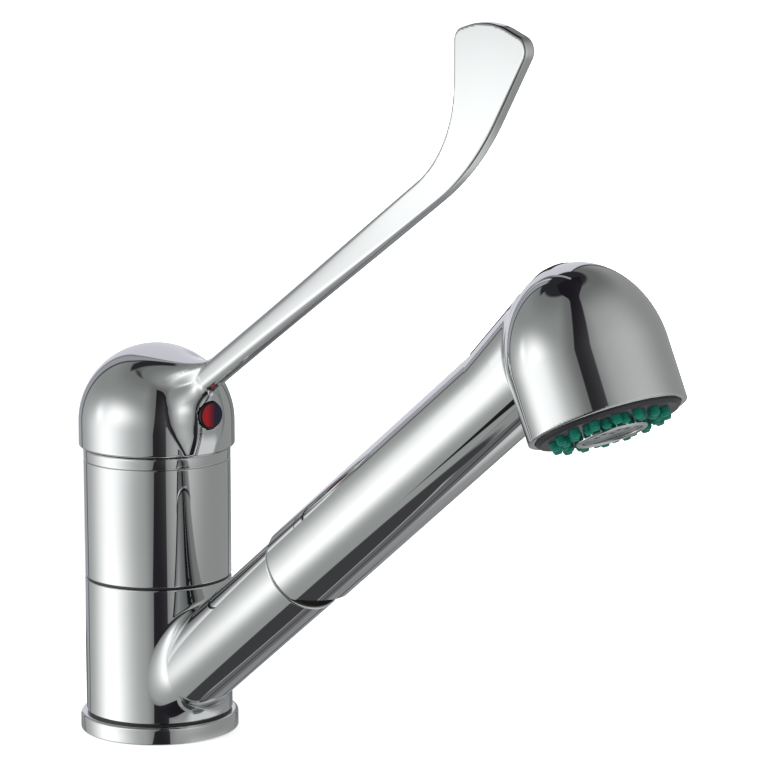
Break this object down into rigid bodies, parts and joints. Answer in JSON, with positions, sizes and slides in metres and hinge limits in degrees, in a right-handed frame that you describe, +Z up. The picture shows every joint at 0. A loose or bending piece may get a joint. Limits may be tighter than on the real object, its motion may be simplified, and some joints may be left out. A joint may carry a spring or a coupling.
{
  "type": "pull-out kitchen faucet",
  "caption": "Single-hole kitchen mixer with a swivelling slanted spout, pull-out spray handset with a mode rocker, and a long lever with a flat blade on a domed cap.",
  "frame": {"origin": "centre of the face that seats on the deck, on the axis of the body", "axes": "+Z up, +X the way the spout points at rest, +Y to the left seen from behind the tap"},
  "size_m": [0.2526, 0.0502, 0.2306],
  "materials": {
    "chrome": "polished chrome plate",
    "brass": "turned brass",
    "steel": "stainless steel",
    "black_plastic": "black acetal",
    "face_plastic": "dark grey satin plastic",
    "white_plastic": "white cartridge plastic",
    "grey_plastic": "grey acetal",
    "ceramic": "lapped alumina ceramic",
    "rubber": "black rubber",
    "silicone": "teal silicone",
    "indicator": "red and blue indicator"
  },
  "bodies": {
    "root": {"base_ring": "chrome", "base_seal": "rubber", "core_column": "brass", "lower_slide_ring": "black_plastic", "upper_slide_ring": "black_plastic", "lower_o_ring": "rubber", "upper_o_ring": "rubber", "upper_body": "chrome", "bonnet_ring": "chrome", "cartridge_nut": "brass", "cartridge_housing": "white_plastic", "cartridge_seals": "rubber", "fixed_disc": "ceramic"},
    "spout": {"spout_body": "chrome", "guide_bush": "black_plastic"},
    "handset": {"handset_shell": "chrome", "tail_connector": "brass", "check_valve": "grey_plastic", "waterway": "grey_plastic", "spray_face": "face_plastic", "nozzle_mat": "silicone", "aerator_ring": "chrome", "aerator_mesh": "grey_plastic", "rocker_pin": "steel"},
    "rocker": {"mode_rocker": "black_plastic"},
    "diverter": {"diverter_spool": "grey_plastic"},
    "rotor": {"cartridge_rotor": "grey_plastic", "lever_pin": "steel"},
    "disc": {"moving_disc": "ceramic", "disc_carrier": "black_plastic"},
    "lever": {"lever": "chrome", "grub_screw": "steel", "indicator_plug": "indicator", "cartridge_stem": "brass"}
  },
  "joints": [
    {"name": "spout_swivel", "type": "hinge", "parent": "root", "child": "spout", "pos_m": [0, 0, 0.028], "axis": [0, 0, 1], "range_deg": [-60, 60]},
    {"name": "handset_pull", "type": "slide", "parent": "spout", "child": "handset", "axis": [0.8049, 0, 0.5934], "range_m": [0, 0.4]},
    {"name": "rocker_press", "type": "hinge", "parent": "handset", "child": "rocker", "pos_m": [0.17353, 0, 0.1504], "axis": [0, 1, 0], "range_deg": [0, 6]},
    {"name": "diverter_slide", "type": "slide", "parent": "handset", "child": "diverter", "axis": [0.4509, 0, -0.8926], "range_m": [0, 0.0023]},
    {"name": "lever_turn", "type": "hinge", "parent": "root", "child": "rotor", "pos_m": [0, 0, 0.076], "axis": [0, 0, 1], "range_deg": [-45, 45]},
    {"name": "lever_lift", "type": "hinge", "parent": "rotor", "child": "lever", "pos_m": [0, 0, 0.076], "axis": [0, -1, 0], "range_deg": [0, 25]},
    {"name": "disc_slide", "type": "slide", "parent": "rotor", "child": "disc", "axis": [1, 0, 0], "range_m": [0, 0.0047]}
  ],
  "couplings": [
    {"joint": "diverter_slide", "follows": "rocker_press", "m_per_rad": 0.0212},
    {"joint": "disc_slide", "follows": "lever_lift", "m_per_rad": 0.0105}
  ]
}
